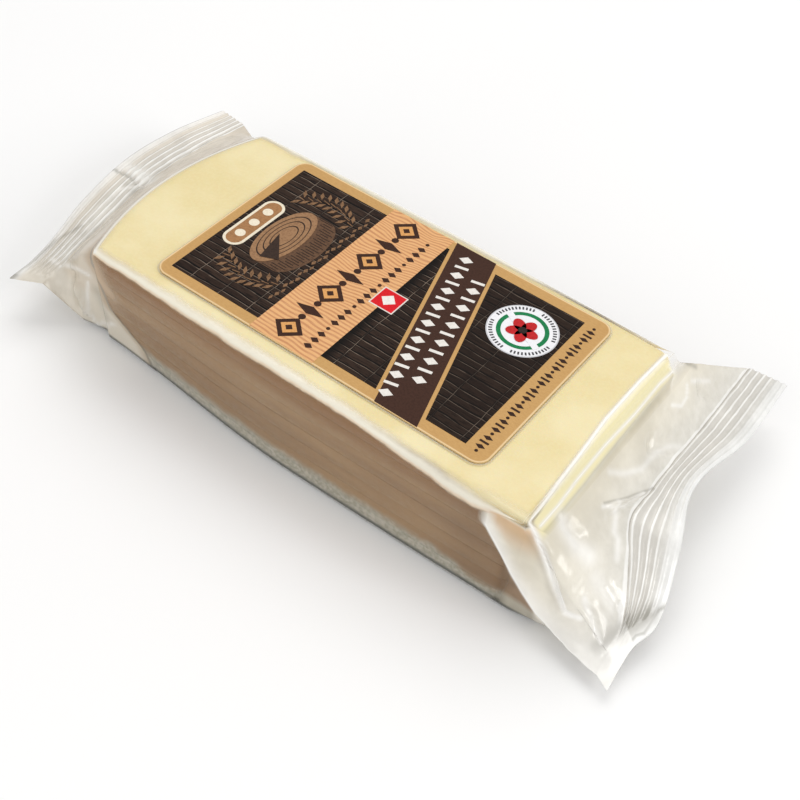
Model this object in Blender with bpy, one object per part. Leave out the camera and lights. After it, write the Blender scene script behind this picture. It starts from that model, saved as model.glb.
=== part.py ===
# Sealed film pack of sliced raclette cheese, lying flat, with a printed label on top.
# +X runs along the pack to the end whose corner is folded down, +Y to the back, +Z up.
# The origin is the middle of the flat underside.

import bpy
import bmesh
import numpy as np

# Driving sizes of the block of cheese, in metres
BLOCK_WIDTH = 0.077
BLOCK_HEIGHT = 0.038
NEAR_END = 0.0755
FAR_END = -0.075
FAR_BULGE = 0.0082
FAR_BULGE_REACH = 0.045
SIDE_BOW = 0.0014
EDGE_RADIUS = 0.0035
FOOT_RADIUS = 0.0014
END_RADIUS = 0.0014
FOLD_RADIUS = 0.0004
NEAR_SHARPENING = 0.020

# The film outside the block, in metres
FILM_THICKNESS = 0.0010
FILM_RADII = (FOLD_RADIUS, 0.003, 0.003, FOLD_RADIUS, 0.002, 0.002)
FAR_FILM_BULGE = 0.0060
CRIMP_RIDGES = 6
CRIMP_DEPTH = 0.0004
CRIMP_FADE = 0.12

# The printed label, in metres
LABEL_LENGTH = 0.1135
LABEL_WIDTH = 0.0665
LABEL_CENTRE = (0.00025, 0.00175)
LABEL_RADIUS = 0.004
LABEL_THICKNESS = 0.0004
TOUCH_GAP = 0.0003

# Points round a ring: the steps in each corner's arc, and the points between corners
ARC_STEPS = 4
RUN_POINTS = (4, 20, 4, 4, 20, 4)
CORNERS = len(RUN_POINTS)

# Each end seal is a band between two lines across the pack, from the front (-Y) corner
# to the back (+Y) corner: the inner line, where the two sheets of film meet, and the cut.
NEAR_INNER = np.array((
    (0.1050, -0.0435, 0.0065), (0.1038, -0.0300, 0.0095), (0.0962, -0.0160, 0.0170),
    (0.0908, -0.0080, 0.0210), (0.0900, 0.0060, 0.0210), (0.0892, 0.0390, 0.0185),
    (0.0882, 0.0710, 0.0165),
))
NEAR_CUT = np.array((
    (0.1095, -0.0450, 0.0035), (0.1085, -0.0320, 0.0055), (0.1100, -0.0190, 0.0090),
    (0.1050, -0.0040, 0.0160), (0.0990, 0.0110, 0.0185), (0.1010, 0.0440, 0.0165),
    (0.1000, 0.0735, 0.0150),
))
FAR_INNER = np.array((
    (-0.0965, -0.0410, 0.0140), (-0.0975, -0.0310, 0.0155), (-0.0990, -0.0210, 0.0165),
    (-0.1005, -0.0080, 0.0180), (-0.1022, 0.0080, 0.0200), (-0.1022, 0.0320, 0.0205),
    (-0.1000, 0.0560, 0.0200),
))
FAR_CUT = np.array((
    (-0.1055, -0.0460, 0.0140), (-0.1060, -0.0350, 0.0150), (-0.1080, -0.0240, 0.0165),
    (-0.1120, -0.0100, 0.0180), (-0.1150, 0.0100, 0.0200), (-0.1148, 0.0330, 0.0205),
    (-0.1105, 0.0570, 0.0200),
))

# Where the block's front and back edges run out in the seals, as shares of their width
NEAR_SHARES = (0.06, 0.80)
FAR_SHARES = (0.12, 0.88)

# The creases that run from the block's sides out to the corners of the seals
NEAR_FRONT_CREASE = ((0.063, -0.0388, 0.030), (0.105, -0.0435, 0.0065))
NEAR_BACK_CREASE = ((0.070, 0.0385, 0.034), (0.0882, 0.0710, 0.0165))
FAR_FRONT_HEIGHT = 0.002
FAR_BACK_HEIGHT = 0.028
FRONT_FOOT_TUCK = 0.0040

PAPER = ("label_paper", (0.66, 0.41, 0.17), 0.45)
CHEESE = ("cheese_in_film", (0.84, 0.74, 0.44), 0.35)


def clear_scene():
    for thing in list(bpy.data.objects):
        bpy.data.objects.remove(thing, do_unlink=True)


def plain_material(name, colour, roughness):
    material = bpy.data.materials.new(name)
    material.use_nodes = True
    shader = material.node_tree.nodes["Principled BSDF"]
    shader.inputs["Base Color"].default_value = (*colour, 1.0)
    shader.inputs["Roughness"].default_value = roughness
    shader.inputs["Metallic"].default_value = 0.0
    return material


def add_object(name, mesh_builder, material):
    mesh = bpy.data.meshes.new(name)
    bmesh.ops.recalc_face_normals(mesh_builder, faces=mesh_builder.faces)
    mesh_builder.to_mesh(mesh)
    mesh_builder.free()
    mesh.materials.append(material)
    thing = bpy.data.objects.new(name, mesh)
    bpy.context.scene.collection.objects.link(thing)
    return thing


def mix(a, b, share):
    return a + (b - a) * share


def smooth(share):
    share = min(max(share, 0.0), 1.0)
    return share * share * (3.0 - 2.0 * share)


# A smooth line through the points of a seal, spaced by the length of the inner line
def seal_knots(inner):
    steps = np.linalg.norm(np.diff(inner, axis=0), axis=1)
    return np.concatenate(((0.0,), np.cumsum(steps))) / steps.sum()


def seal_point(points, knots, share):
    slopes = np.gradient(points, knots, axis=0)
    index = int(np.clip(np.searchsorted(knots, share, side="right") - 1, 0, len(knots) - 2))
    width = knots[index + 1] - knots[index]
    u = (share - knots[index]) / width
    start = (1.0 + 2.0 * u) * (1.0 - u) ** 2 * points[index]
    end = (3.0 - 2.0 * u) * u * u * points[index + 1]
    leave = u * (1.0 - u) ** 2 * width * slopes[index]
    arrive = (u - 1.0) * u * u * width * slopes[index + 1]
    return start + end + leave + arrive


# One ring of the block: straight runs between six corners, each rounded by its radius.
# The corners are the front crease, top front, top back, back crease, bottom back and
# bottom front.
def corner_ring(corners, radii):
    corners = np.array(corners)
    arcs = []
    for index in range(CORNERS):
        corner = corners[index]
        before = corners[index - 1] - corner
        after = corners[(index + 1) % CORNERS] - corner
        enter = corner + before * min(radii[index] / np.linalg.norm(before), 0.45)
        leave = corner + after * min(radii[index] / np.linalg.norm(after), 0.45)
        arcs.append((enter, corner, leave))
    ring = []
    for index in range(CORNERS):
        enter, corner, leave = arcs[index]
        for step in range(ARC_STEPS + 1):
            u = step / ARC_STEPS
            ring.append(mix(mix(enter, corner, u), mix(corner, leave, u), u))
        next_enter = arcs[(index + 1) % CORNERS][0]
        for step in range(1, RUN_POINTS[index] + 1):
            ring.append(mix(leave, next_enter, step / (RUN_POINTS[index] + 1)))
    return np.array(ring)


# One ring of a seal, with the same points: out along the upper sheet, back along the lower
def seal_ring(points, knots, edge_shares, lift):
    front, back = edge_shares
    shares = (0.0, front, back, 1.0, back, front)
    corner_reach = 0.10
    ring = []
    for index in range(CORNERS):
        here = shares[index]
        enter = mix(here, shares[index - 1], corner_reach)
        leave = mix(here, shares[(index + 1) % CORNERS], corner_reach)
        next_here = shares[(index + 1) % CORNERS]
        next_enter = mix(next_here, here, corner_reach)
        upper = index < CORNERS // 2
        for step in range(ARC_STEPS + 1):
            u = step / ARC_STEPS
            side = 1.0 if upper else -1.0
            if index == 0:
                side = 2.0 * u - 1.0
            if index == CORNERS // 2:
                side = 1.0 - 2.0 * u
            share = mix(mix(enter, here, u), mix(here, leave, u), u)
            ring.append((share, side))
        side = 1.0 if upper else -1.0
        for step in range(1, RUN_POINTS[index] + 1):
            share = mix(leave, next_enter, step / (RUN_POINTS[index] + 1))
            ring.append((share, side))
    placed = []
    for share, side in ring:
        point = seal_point(points, knots, share).copy()
        fade = smooth(share / CRIMP_FADE)
        point[2] += side * FILM_THICKNESS / 2.0 + lift * fade
        placed.append(point)
    return np.array(placed)


def seal_band(inner, cut, edge_shares):
    knots = seal_knots(inner)
    rows = 2 * CRIMP_RIDGES
    rings = []
    for row in range(rows + 1):
        lift = CRIMP_DEPTH if row % 2 else -CRIMP_DEPTH
        if row in (0, rows):
            lift = 0.0
        rings.append(seal_ring(mix(inner, cut, row / rows), knots, edge_shares, lift))
    return rings


def half_width(x):
    return BLOCK_WIDTH / 2.0 + SIDE_BOW * (1.0 - (x / NEAR_END) ** 2)


def line_at(line, x):
    start, end = np.array(line[0]), np.array(line[1])
    return mix(start, end, (x - start[0]) / (end[0] - start[0]))


# A ring of the block at x, with the ends' edges rounded by their distance to the end
def block_ring(x):
    to_end = min(NEAR_END - x, x - FAR_END)
    tuck = END_RADIUS * (1.0 - np.sqrt(1.0 - max(0.0, 1.0 - to_end / END_RADIUS) ** 2))
    wide = half_width(x) - tuck
    top = BLOCK_HEIGHT - tuck
    foot = -wide + FRONT_FOOT_TUCK * smooth(x / FAR_END)
    along = (x - FAR_END) / (NEAR_FRONT_CREASE[0][0] - FAR_END)
    front_height = mix(FAR_FRONT_HEIGHT, NEAR_FRONT_CREASE[0][2], along)
    front = np.array((x, mix(foot, -wide, front_height / top), front_height))
    back = np.array((x, wide, mix(FAR_BACK_HEIGHT, NEAR_BACK_CREASE[0][2], along)))
    if x > NEAR_FRONT_CREASE[0][0]:
        front = line_at(NEAR_FRONT_CREASE, x)
    if x > NEAR_BACK_CREASE[0][0]:
        back[1] = wide + (x - NEAR_BACK_CREASE[0][0]) * 0.35
        back[2] = NEAR_BACK_CREASE[0][2] - (x - NEAR_BACK_CREASE[0][0]) * 0.15
    corners = (
        front, (x, -wide, top), (x, wide, top),
        back, (x, wide, 0.0), (x, foot, 0.0),
    )
    sharpen = smooth(1.0 - (NEAR_END - x) / NEAR_SHARPENING)
    top_radius = mix(EDGE_RADIUS, END_RADIUS, sharpen)
    radii = (FOLD_RADIUS, top_radius, top_radius, FOLD_RADIUS, FOOT_RADIUS, FOOT_RADIUS)
    ring = corner_ring(corners, radii)
    reach = smooth((FAR_END + FAR_BULGE_REACH - x) / FAR_BULGE_REACH)
    ring[:, 0] -= FAR_BULGE * reach * (1.0 - (ring[:, 1] / half_width(x)) ** 2)
    return ring


# The ends of the slices stand out below the top edge, and the film follows them
def slice_end_ring():
    corners = (
        line_at(NEAR_FRONT_CREASE, 0.0790), (0.0795, -0.0370, 0.0320), (0.0795, 0.0370, 0.0325),
        (0.0785, 0.0450, 0.0315), (0.0785, 0.0380, 0.0), (0.0785, -0.0382, 0.0),
    )
    return corner_ring(corners, FILM_RADII)


# At the round end the film hangs from the top edge and lies close to the ground in front
def far_film_ring():
    corners = (
        (-0.0840, -0.0352, 0.0015), (-0.0820, -0.0362, 0.0305), (-0.0830, 0.0415, 0.0315),
        (-0.0835, 0.0445, 0.0255), (-0.0825, 0.0385, 0.0040), (-0.0815, -0.0325, 0.0010),
    )
    ring = corner_ring(corners, FILM_RADII)
    ring[:, 0] -= FAR_FILM_BULGE * (1.0 - (ring[:, 1] / 0.0445) ** 2)
    return ring


def join_rings(shape, rings):
    rows = []
    for ring in rings:
        rows.append([shape.verts.new(point) for point in ring])
    count = len(rows[0])
    for lower, upper in zip(rows, rows[1:]):
        for index in range(count):
            after = (index + 1) % count
            shape.faces.new((lower[index], lower[after], upper[after], upper[index]))
    return rows


# A cut edge is closed by a strip between its upper and lower sheets
def close_cut(shape, row):
    count = len(row)
    middle = ARC_STEPS // 2
    turned = row[middle:] + row[:middle]
    half = count // 2
    shape.faces.new((turned[0], turned[1], turned[-1]))
    for index in range(1, half - 1):
        upper = (turned[index], turned[index + 1])
        lower = (turned[-index - 1], turned[-index])
        shape.faces.new((*upper, *lower))
    shape.faces.new((turned[half - 1], turned[half], turned[half + 1]))


def build_pack():
    far_band = seal_band(FAR_INNER, FAR_CUT, FAR_SHARES)
    near_band = seal_band(NEAR_INNER, NEAR_CUT, NEAR_SHARES)
    far_edge = block_ring(FAR_END)
    far_film = far_film_ring()
    near_edge = block_ring(NEAR_END)
    slice_ends = slice_end_ring()

    rings = list(reversed(far_band))
    for share in (0.33, 0.67):
        rings.append(mix(far_band[0], far_film, share))
    rings.append(far_film)
    rings.append(mix(far_film, far_edge, 0.5))
    rings.append(far_edge)
    inner_places = (
        FAR_END + END_RADIUS / 3.0, FAR_END + END_RADIUS, -0.066, -0.056, -0.044, -0.030,
        -0.010, 0.010, 0.030, 0.048, NEAR_FRONT_CREASE[0][0], 0.068, NEAR_END - END_RADIUS,
        NEAR_END - END_RADIUS / 3.0,
    )
    for place in inner_places:
        rings.append(block_ring(place))
    rings.append(near_edge)
    rings.append(slice_ends)
    for share in (0.25, 0.5, 0.75):
        rings.append(mix(slice_ends, near_band[0], share))
    rings.extend(near_band)

    shape = bmesh.new()
    rows = join_rings(shape, rings)
    close_cut(shape, rows[0])
    close_cut(shape, rows[-1])
    pack = add_object("pack", shape, plain_material(*CHEESE))
    pack.data.shade_smooth()
    pack.data.set_sharp_from_angle(angle=np.radians(35.0))
    return pack


def build_label():
    corner_steps = 6
    outline = []
    for quarter in range(4):
        turn = quarter * np.pi / 2.0
        side_x = 1.0 if quarter in (0, 3) else -1.0
        side_y = 1.0 if quarter in (0, 1) else -1.0
        centre_x = LABEL_CENTRE[0] + side_x * (LABEL_LENGTH / 2.0 - LABEL_RADIUS)
        centre_y = LABEL_CENTRE[1] + side_y * (LABEL_WIDTH / 2.0 - LABEL_RADIUS)
        for step in range(corner_steps + 1):
            angle = turn + step / corner_steps * np.pi / 2.0
            x = centre_x + LABEL_RADIUS * np.cos(angle)
            y = centre_y + LABEL_RADIUS * np.sin(angle)
            outline.append((x, y))
    shape = bmesh.new()
    base = BLOCK_HEIGHT + TOUCH_GAP
    face = shape.faces.new([shape.verts.new((x, y, base)) for x, y in outline])
    raised = bmesh.ops.extrude_face_region(shape, geom=[face])
    top = [part for part in raised["geom"] if isinstance(part, bmesh.types.BMVert)]
    bmesh.ops.translate(shape, verts=top, vec=(0.0, 0.0, LABEL_THICKNESS))
    return add_object("label", shape, plain_material(*PAPER))


clear_scene()
build_pack()
build_label()
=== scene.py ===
import math

import bmesh
import bpy
import numpy as np
from mathutils import Matrix, Vector, noise


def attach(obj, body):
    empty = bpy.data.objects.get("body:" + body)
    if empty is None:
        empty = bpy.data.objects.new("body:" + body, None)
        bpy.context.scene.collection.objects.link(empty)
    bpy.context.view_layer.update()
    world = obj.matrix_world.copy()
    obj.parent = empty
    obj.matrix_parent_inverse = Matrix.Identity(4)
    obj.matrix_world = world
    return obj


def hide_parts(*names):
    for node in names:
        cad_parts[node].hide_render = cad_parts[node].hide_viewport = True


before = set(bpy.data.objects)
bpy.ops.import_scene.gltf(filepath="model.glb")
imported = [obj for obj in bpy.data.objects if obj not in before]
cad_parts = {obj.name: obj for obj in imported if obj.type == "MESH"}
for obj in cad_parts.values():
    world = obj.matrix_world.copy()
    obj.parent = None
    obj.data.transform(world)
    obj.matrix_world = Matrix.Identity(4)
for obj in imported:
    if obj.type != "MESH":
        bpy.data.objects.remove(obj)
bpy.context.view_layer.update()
scene = bpy.context.scene
print("frame loaded")


# Camera, floor and lights

cameraSetup = {
    "place": (0.15458, -0.22611, 0.29498),
    "aim": (0.01814, -0.01206, 0.0200),
    "roll": 6.07,                # degrees, the camera's right side leans up
    "fieldOfView": 33.515,       # degrees across the picture
}

studio = {
    "floorSize": 6.0,
    "floorDrop": 0.0002,         # the pack stands this far above the floor
    "worldStrength": 0.60,
    "lamps": (                   # name, place, aim, size, power, colour
        ("overheadSoftbox", (-0.30, 0.55, 1.05), (0.0, 0.0, 0.0), 0.9, 4.8, (1.0, 0.99, 0.97)),
        ("nearEndSoftbox", (0.95, 0.10, 0.60), (0.07, 0.0, 0.02), 0.5, 3.5, (1.0, 0.99, 0.98)),
        ("frontSoftbox", (-0.05, -0.95, 0.55), (0.0, 0.0, 0.01), 0.8, 2.4, (1.0, 0.98, 0.96)),
    ),
}


def paint(red, green, blue):     # a screen colour, 0 to 255, as a shader colour
    tones = []
    for value in (red, green, blue):
        share = value / 255.0
        tones.append(share / 12.92 if share <= 0.04045 else ((share + 0.055) / 1.055) ** 2.4)
    return (*tones, 1.0)


def faceTo(place, aim):
    return (Vector(aim) - Vector(place)).to_track_quat("-Z", "Y")


def placeCamera():
    data = bpy.data.cameras.new("packCamera")
    data.angle = math.radians(cameraSetup["fieldOfView"])
    data.clip_start = 0.01
    camera = bpy.data.objects.new("packCamera", data)
    scene.collection.objects.link(camera)
    turn = faceTo(cameraSetup["place"], cameraSetup["aim"]).to_matrix().to_4x4()
    roll = Matrix.Rotation(math.radians(cameraSetup["roll"]), 4, "Z")
    camera.matrix_world = Matrix.Translation(cameraSetup["place"]) @ turn @ roll
    scene.camera = camera


def placeLamps():
    for name, place, aim, size, power, colour in studio["lamps"]:
        data = bpy.data.lights.new(name, "AREA")
        data.shape = "SQUARE"
        data.size = size
        data.energy = power
        data.color = colour
        lamp = bpy.data.objects.new(name, data)
        lamp.matrix_world = Matrix.Translation(place) @ faceTo(place, aim).to_matrix().to_4x4()
        scene.collection.objects.link(lamp)
    world = bpy.data.worlds.new("studioWorld")
    world.use_nodes = True
    background = world.node_tree.nodes["Background"].inputs
    background["Color"].default_value = (1.0, 1.0, 1.0, 1.0)
    background["Strength"].default_value = studio["worldStrength"]
    scene.world = world
    scene.view_settings.view_transform = "Standard"


placeCamera()
placeLamps()
print("camera and lights placed")


# Materials: a surface adds the nodes, and a field is what one of them gives, which sums, products
# and soft steps turn into more nodes

def feed(socket, value):
    if isinstance(value, Field):
        socket.id_data.links.new(value.socket, socket)
    else:
        socket.default_value = value


class Field:
    def __init__(self, surface, socket):
        self.surface = surface
        self.socket = socket

    def other(self, output):              # another output of the same node
        return Field(self.surface, self.socket.node.outputs[output])

    def maths(self, operation, other=0.0):
        return self.surface.add("Math", {0: self, 1: other}, "Value", operation=operation)

    def __add__(self, other):
        return self.maths("ADD", other)

    def __sub__(self, other):
        return self.maths("SUBTRACT", other)

    def __mul__(self, other):
        return self.maths("MULTIPLY", other)

    def __abs__(self):
        return self.maths("ABSOLUTE")

    def most(self, *others):
        value = self
        for other in others:
            value = value.maths("MAXIMUM", other)
        return value

    def step(self, low, high, newLow=0.0, newHigh=1.0):     # soft step between low and high
        inputs = {"Value": self, "From Min": low, "From Max": high, "To Min": newLow, "To Max": newHigh}
        return self.surface.add("MapRange", inputs, "Result", interpolation_type="SMOOTHSTEP")

    def blend(self, first, second):       # the first tone where the field is 0, the second where it is 1
        tones = [tone if isinstance(tone, Field) else paint(*tone) for tone in (first, second)]
        inputs = {"Factor": self, "A": tones[0], "B": tones[1]}
        return self.surface.add("Mix", inputs, "Result", data_type="RGBA")


class Surface:
    def __init__(self, name, roughness):
        self.material = bpy.data.materials.new(name)
        self.material.use_nodes = True
        self.tree = self.material.node_tree
        self.shader = self.tree.nodes["Principled BSDF"]
        self.set("Roughness", roughness)
        self.place = self.add("TexCoord", {}, "Object")

    def add(self, kind, inputs, output, **settings):
        node = self.tree.nodes.new("ShaderNode" + kind)
        for name, value in settings.items():
            setattr(node, name, value)
        for name, value in inputs.items():
            feed(node.inputs[name], value)
        return Field(self, node.outputs[output])

    def set(self, name, value):
        feed(self.shader.inputs[name], value)

    def axes(self):
        x = self.add("SeparateXYZ", {"Vector": self.place}, "X")
        return x, x.other("Y"), x.other("Z")

    def stretch(self, scale, shift=(0.0, 0.0, 0.0), place=None):
        inputs = {"Vector": place or self.place, "Location": shift, "Scale": scale}
        return self.add("Mapping", inputs, "Vector")

    def noise(self, scale, detail=3.0, rough=0.55, distortion=0.0, place=None):
        inputs = {"Vector": place or self.place, "Scale": scale, "Detail": detail, "Roughness": rough,
                  "Distortion": distortion}
        return self.add("TexNoise", inputs, "Fac")

    def grain(self, scale, detail=2.0):   # noise drawn out along an axis
        return self.noise(1.0, detail, place=self.stretch(scale))

    def attribute(self, name):
        return self.add("Attribute", {}, "Fac", attribute_name=name)

    def bump(self, height, strength, distance):
        inputs = {"Height": height, "Strength": strength, "Distance": distance}
        self.set("Normal", self.add("Bump", inputs, "Normal"))

    def finish(self, colour, specular=0.5):
        self.set("Base Color", colour)
        self.set("Specular IOR Level", specular)
        return self.material


def layered(tone, layers):                # tones laid over a tone, each as strong as its field
    for share, over in layers:
        tone = share.blend(tone, over)
    return tone


def floorMaterial():
    surface = Surface("paleFloor", 0.75)
    shade = surface.noise(3.0, 2.0).step(0.3, 0.7)
    return surface.finish(shade.blend((249, 249, 249), (251, 251, 251)), 0.2)


def settle(scale=(1.0, 1.0, 1.0)):        # the new primitive at its size, its place made part of its shape
    piece = bpy.context.object
    piece.scale = scale
    bpy.ops.object.transform_apply(location=True, rotation=True, scale=True)
    return piece


def placeFloor():
    bpy.ops.mesh.primitive_plane_add(size=studio["floorSize"], location=(0.0, 0.0, -studio["floorDrop"]))
    floor = settle()
    floor.name = "studioFloor"
    floor.data.materials.append(floorMaterial())


placeFloor()
print("floor placed")


# The block: sizes in metres, shared by the slices and the film round them

block = {
    "width": 0.077,
    "height": 0.038,
    "nearEnd": 0.0755,
    "farEnd": -0.075,
    "farBulge": 0.0082,          # the far end is part of the wheel's round rim
    "farBulgeReach": 0.045,
    "sideBow": 0.0014,
    "edgeRadius": 0.0035,
    "footRadius": 0.0014,
    "endRadius": 0.0014,
    "nearSharpening": 0.020,
    "frontFootTuck": 0.0040,     # at the far end the front side leans in to its foot
}


def mix(first, second, share):
    return first + (second - first) * share


def smooth(share):
    share = np.clip(share, 0.0, 1.0)
    return share * share * (3.0 - 2.0 * share)


def halfWidth(x):
    return block["width"] / 2.0 + block["sideBow"] * (1.0 - (x / block["nearEnd"]) ** 2)


def footLean(x, z):              # how far the front side has leant in at height z
    return block["frontFootTuck"] * smooth(x / block["farEnd"]) * (1.0 - z / block["height"])


def farShift(x, y):              # how far the round end moves a point at x towards -X
    reach = smooth((block["farEnd"] + block["farBulgeReach"] - x) / block["farBulgeReach"])
    return block["farBulge"] * reach * (1.0 - (y / halfWidth(x)) ** 2)


# The slices of cheese

slices = {
    "count": 7,
    "filmGap": 0.00010,          # the block stays this far inside the film
    "seam": 0.00002,
    "nearEnds": (0.0772, 0.0770, 0.0774, 0.0771, 0.0775, 0.0770, 0.0748),   # bottom slice first
    "wobble": 0.00018,
    "endNarrowing": 0.0016,      # the near ends are this much narrower on each side
    "cutsAlong": 60,
    "cutsAcross": 26,
    "cornerBevel": 0.0016,
    "seamBevel": 0.00005,
}


def cheeseMaterial():
    surface = Surface("pressedCheese", 0.42)
    x, _, z = surface.axes()
    # cut faces: pale yellow with soft clouds and fine grain
    clouds = surface.noise(45.0).step(0.32, 0.68)
    grain = surface.noise(900.0, 2.0).step(0.35, 0.72)
    paste = clouds.blend((229, 211, 152), (237, 223, 174))
    paste = (grain * 0.22).blend(paste, (244, 234, 198))
    # rind: warm brown, darker in streaks along the slices, with painted shade in a band under the top edge
    # and towards the near end, grey and frosty at the foot, with a painted contact shadow along the lowest
    # edge
    along = surface.stretch((14.0, 60.0, 150.0))
    streaks = surface.noise(1.0, 4.0, 0.6, 0.4, along).step(0.3, 0.7)
    patches = surface.noise(38.0).step(0.3, 0.7)
    shadeUnderEdge = z.step(0.0265, 0.0350)
    nearShade = x.step(0.044, 0.064, 0.0, 0.40)
    frostEdge = z + surface.noise(200.0) * 0.0044 + x.step(0.050, 0.066, 0.0, 0.0022)
    frost = frostEdge.step(0.0116, 0.0074)
    skin = layered(streaks.blend((134, 105, 75), (155, 126, 92)), (
        # painted shade under the top edge and towards the near end, under the film's ear
        (patches * 0.45, (145, 111, 73)), (shadeUnderEdge * 0.80, (136, 97, 57)), (nearShade, (106, 78, 50)),
        (frost * 0.85, grain.blend((148, 148, 134), (188, 184, 172))),
        # a painted contact shadow along the rind's lowest edge
        (z.step(0.0029, 0.0016, 0.0, 0.90), (70, 74, 70)),
    ))
    surface.set("Roughness", grain.step(0.0, 1.0, 0.38, 0.55))
    surface.set("Subsurface Weight", 0.12)
    surface.set("Subsurface Radius", (0.0030, 0.0018, 0.0008))
    surface.set("Subsurface Scale", 1.0)
    surface.bump(grain * 0.3 + clouds, 0.25, 0.0002)
    return surface.finish(surface.attribute("rind").blend(paste, skin))


def pickEdges(piece, isPicked):           # leaves the piece in edit mode with those edges selected
    bpy.ops.object.mode_set(mode="EDIT")
    bpy.ops.mesh.select_mode(type="EDGE")
    bpy.ops.mesh.select_all(action="DESELECT")
    bpy.ops.object.mode_set(mode="OBJECT")
    corners = piece.data.vertices
    for edge in piece.data.edges:
        edge.select = isPicked(corners[edge.vertices[0]].co, corners[edge.vertices[1]].co)
    bpy.ops.object.mode_set(mode="EDIT")


def cutAcross(piece, axis, cuts):         # cuts the piece's long edges along an axis into even steps
    def runsAlong(start, end):
        length = (end - start).length
        return abs(end[axis] - start[axis]) > 0.99 * length and length > slices["cornerBevel"] * 2.0

    pickEdges(piece, runsAlong)
    bpy.ops.mesh.subdivide(number_cuts=cuts)
    bpy.ops.object.mode_set(mode="OBJECT")


def bevelRim(piece, isPicked, width, segments):
    pickEdges(piece, lambda start, end: isPicked((start + end) / 2.0))
    bpy.ops.mesh.bevel(offset=width, segments=segments, affect="EDGES")
    bpy.ops.object.mode_set(mode="OBJECT")


def cutSlice(level):
    gap = slices["filmGap"]
    thick = (block["height"] - 2.0 * gap) / slices["count"]
    low = gap + level * thick + slices["seam"]
    high = gap + (level + 1) * thick - slices["seam"]
    start = block["farEnd"] + gap
    end = slices["nearEnds"][level]
    bpy.ops.mesh.primitive_cube_add(size=1.0, location=((start + end) / 2.0, 0.0, (low + high) / 2.0))
    piece = settle((end - start, block["width"] - 2.0 * gap, high - low))
    piece.name = f"slice{level}"
    bevelSlice(piece, level, low, high)
    cutAcross(piece, 0, slices["cutsAlong"])
    cutAcross(piece, 1, slices["cutsAcross"])
    shapeSlice(piece, level)
    return piece


def bevelSlice(piece, level, low, high):
    sideY = block["width"] / 2.0 - slices["filmGap"]
    ends = (block["farEnd"] + slices["filmGap"], slices["nearEnds"][level])
    near = 0.00001
    isTop = level == slices["count"] - 1
    isFoot = level == 0

    def onSide(middle):
        return abs(abs(middle.y) - sideY) < near

    def onEnd(middle):
        return min(abs(middle.x - end) for end in ends) < near

    def onSeam(middle):
        return (abs(middle.z - low) < near and not isFoot) or (abs(middle.z - high) < near and not isTop)

    if isTop:
        radius = block["edgeRadius"] - slices["filmGap"]
        bevelRim(piece, lambda middle: abs(middle.z - high) < near and onSide(middle), radius, 6)
    elif isFoot:
        radius = block["footRadius"] - slices["filmGap"]
        bevelRim(piece, lambda middle: abs(middle.z - low) < near and onSide(middle), radius, 4)
    bevelRim(piece, lambda middle: onEnd(middle) and not onSeam(middle), slices["cornerBevel"], 3)
    seam = slices["seamBevel"]
    bevelRim(piece, lambda middle: onSeam(middle) and (onSide(middle) or onEnd(middle)), seam, 2)


def shapeSlice(piece, level):
    gap = slices["filmGap"]
    wide = block["width"] / 2.0 - gap
    nearEnd = slices["nearEnds"][level]
    rind = np.zeros(len(piece.data.vertices))
    for index, corner in enumerate(piece.data.vertices):
        x, y, z = corner.co
        fromSide = (1.0 - abs(y) / wide) * wide
        side = halfWidth(x) - gap - slices["endNarrowing"] * smooth((x - 0.0715) / 0.0040)
        if y < 0.0:
            side -= footLean(x, z)
        newY = y * side / wide
        seed = Vector((x * 40.0, newY * 40.0, z * 90.0 + level * 3.7))
        wave = noise.noise(seed) * slices["wobble"]
        inset = (0.2 + 0.2 * noise.noise(Vector((x * 25.0, level * 9.1, y * 3.0)))) * slices["wobble"]
        corner.co.x = x - farShift(x, newY) + wave * smooth((x - nearEnd + 0.002) / 0.002)
        corner.co.y = newY - math.copysign(inset, y) * smooth(1.0 - fromSide / 0.004)
        rimTop = 0.0378 - 0.0032 * smooth((x - 0.046) / 0.018)
        rim = (1.0 - smooth((fromSide - 0.0006) / 0.0016)) * smooth((rimTop - z) / 0.0008)
        farRim = 1.0 - smooth((x - block["farEnd"] - gap - 0.0002) / 0.0010)
        rind[index] = max(rim, farRim * smooth((0.0362 - z) / 0.0020))
    addTint(piece.data, "rind", rind)


def addTint(mesh, name, values):          # a value at each corner of a mesh, for its material to read
    layer = mesh.attributes.new(name, "FLOAT", "POINT")
    layer.data.foreach_set("value", values.astype(np.float32))


def joinPieces(name, pieces):
    bpy.ops.object.select_all(action="DESELECT")
    for piece in pieces:
        piece.select_set(True)
    bpy.context.view_layer.objects.active = pieces[0]
    if len(pieces) > 1:
        bpy.ops.object.join()
    joined = bpy.context.view_layer.objects.active
    joined.name = name
    joined.data.name = name
    return joined


def buildSlices():
    pieces = [cutSlice(level) for level in range(slices["count"])]
    cheese = joinPieces("cheeseSlices", pieces)
    bpy.ops.object.shade_smooth_by_angle(angle=math.radians(50.0))
    cheese.data.materials.clear()
    cheese.data.materials.append(cheeseMaterial())
    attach(cheese, "root")
    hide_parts("pack")


buildSlices()
print("slices cut")


# The label, whose outline the film follows too

label = {
    "top": 0.0387,
    "low": (-0.0565, -0.0315),
    "high": (0.0570, 0.0350),
    "cornerRadius": 0.0040,
    "ink": 0.00004,              # each layer of print stands this far above the one below
    "clingRise": 0.00027,        # the film comes up to the label's back, over this reach
    "clingReach": 0.0020,
}


# The film: rings round the block from one cut end to the other, as in the solid, but finer.
# A ring starts at the front crease and runs over the top, down the back and under.

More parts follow.
